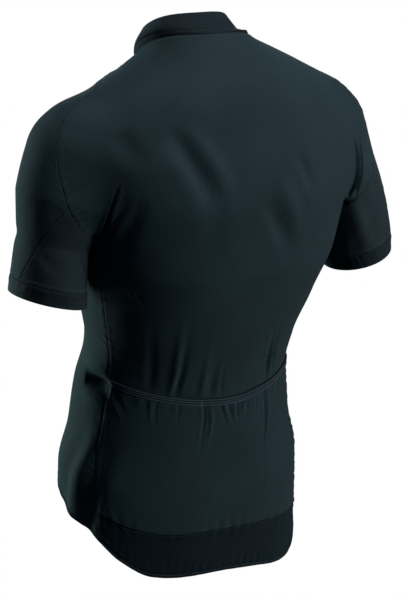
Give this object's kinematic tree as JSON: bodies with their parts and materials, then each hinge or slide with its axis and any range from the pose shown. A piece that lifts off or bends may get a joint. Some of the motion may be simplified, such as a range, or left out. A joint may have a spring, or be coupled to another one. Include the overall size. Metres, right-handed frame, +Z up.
{
  "type": "cycling jersey",
  "caption": "Close-fitting short-sleeved cycling jersey, worn form, with full front zip, stand-up collar, banded back pockets and a dropped tail.",
  "frame": {"origin": "in the middle of the shoulders, level with the neck seam, where the wearer holds the jersey up", "axes": "+Z up along the wearer's back, +X to the wearer's left, -Y the front with the zip"},
  "size_m": [0.5433, 0.265, 0.7526],
  "materials": {
    "eyelet_knit": "matt eyelet knit",
    "smooth_knit": "smooth knit with a slight sheen",
    "dense_knit": "matt dense knit",
    "zip_tape": "woven tape and coil",
    "zip_metal": "dark lacquer"
  },
  "bodies": {
    "jersey": {"back": "eyelet_knit", "front_left": "eyelet_knit", "front_right": "eyelet_knit", "sleeve_upper_left": "eyelet_knit", "sleeve_upper_right": "eyelet_knit", "pocket_bag": "eyelet_knit", "side_left": "smooth_knit", "side_right": "smooth_knit", "sleeve_under_left": "smooth_knit", "sleeve_under_right": "smooth_knit", "collar": "dense_knit", "cuff_left": "dense_knit", "cuff_right": "dense_knit", "hem_band_back": "dense_knit", "hem_edging": "dense_knit", "pocket_elastic": "dense_knit", "zip_tape_left": "zip_tape", "zip_tape_right": "zip_tape", "zip_coil": "zip_tape", "zip_box": "zip_metal", "zip_slider": "zip_metal"},
    "pull_tab": {"zip_pull_tab": "zip_metal"}
  },
  "joints": [
    {"name": "pull_tab_hinge", "type": "hinge", "parent": "jersey", "child": "pull_tab", "pos_m": [0, -0.11249, -0.05972], "axis": [-1, 0, 0], "range_deg": [-12, 165]}
  ]
}
